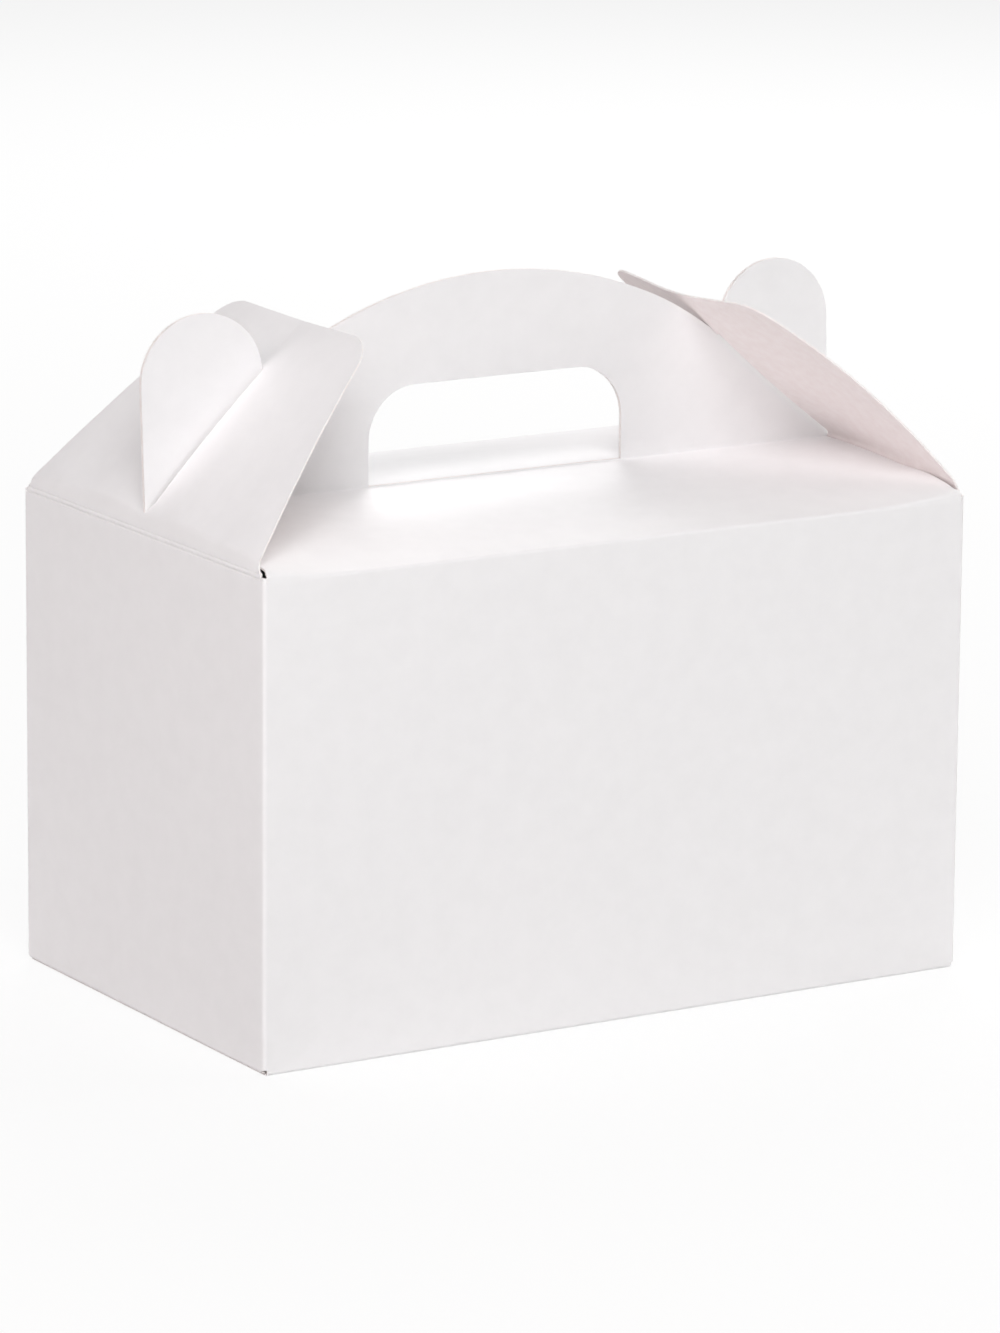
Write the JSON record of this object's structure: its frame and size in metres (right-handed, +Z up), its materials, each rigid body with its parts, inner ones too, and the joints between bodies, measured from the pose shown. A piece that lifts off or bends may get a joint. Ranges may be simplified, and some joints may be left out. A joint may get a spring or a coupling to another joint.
{
  "type": "gable box",
  "caption": "Rectangular paperboard carry box with a low gabled roof, a double handle with a hand hole, and slotted end flaps that lock over the handle's ears.",
  "frame": {"origin": "middle of the base, on the surface that the box stands on", "axes": "+X along the box to its right end, +Y from the front to the back, +Z up"},
  "size_m": [0.21, 0.128, 0.1863],
  "materials": {
    "board": "matte"
  },
  "bodies": {
    "box": {"carton": "board"},
    "left_flap": {"left_end_flap": "board"},
    "right_flap": {"right_end_flap": "board"}
  },
  "joints": [
    {"name": "left_flap_crease", "type": "hinge", "parent": "box", "child": "left_flap", "pos_m": [-0.105, 0, 0.1283], "axis": [0, -1, 0], "range_deg": [0, 165]},
    {"name": "right_flap_crease", "type": "hinge", "parent": "box", "child": "right_flap", "pos_m": [0.105, 0, 0.1283], "axis": [0, 1, 0], "range_deg": [0, 165]}
  ]
}
